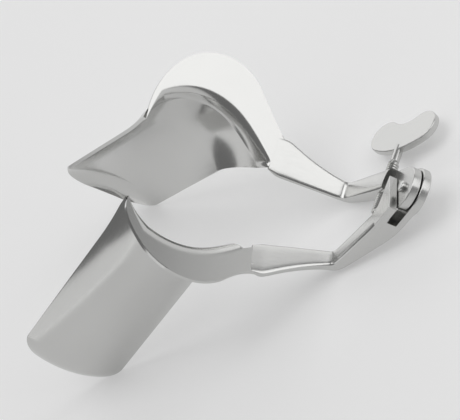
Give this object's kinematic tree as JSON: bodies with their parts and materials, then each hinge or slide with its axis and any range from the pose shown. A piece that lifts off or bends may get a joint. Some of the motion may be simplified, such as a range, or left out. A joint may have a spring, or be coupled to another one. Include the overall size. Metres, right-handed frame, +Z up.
{
  "type": "vaginal speculum",
  "caption": "Side-hinged bivalve speculum: curved blades flare into round flanges, bent arms meet at a riveted hinge and a winged thumb screw sets the opening.",
  "frame": {"origin": "middle of the bounding box's base, on the surface the part lies on", "axes": "+X from the hinge towards the blade tips, +Z up from the surface it lies on; the open valves lie on their sides, the upper one at -Y and the lower one at +Y"},
  "size_m": [0.1646, 0.0892, 0.0727],
  "materials": {
    "satin_steel": "satin-polished stainless steel",
    "bright_steel": "bright turned stainless steel"
  },
  "bodies": {
    "lower": {"lower_valve": "satin_steel", "hinge_rivet": "bright_steel"},
    "upper": {"upper_valve": "satin_steel"},
    "screw": {"screw_shank": "bright_steel"},
    "wing": {"thumb_wing": "satin_steel"}
  },
  "joints": [
    {"name": "valve_hinge", "type": "hinge", "parent": "lower", "child": "upper", "pos_m": [-0.07293, 0.00327, 0.01462], "axis": [-0.4191, 0, -0.908], "range_deg": [-29, 20]},
    {"name": "screw_travel", "type": "slide", "parent": "upper", "child": "screw", "axis": [0.0583, 0.9903, 0.1264], "range_m": [-0.0088, 0.0061]},
    {"name": "wing_turn", "type": "hinge", "parent": "screw", "child": "wing", "pos_m": [-0.05749, -0.00533, 0.00871], "axis": [0.0583, 0.9903, 0.1264], "range_deg": [-3150, 2170]}
  ],
  "couplings": [
    {"joint": "screw_travel", "follows": "valve_hinge", "m_per_rad": 0.01719},
    {"joint": "wing_turn", "follows": "valve_hinge", "ratio": 108}
  ]
}
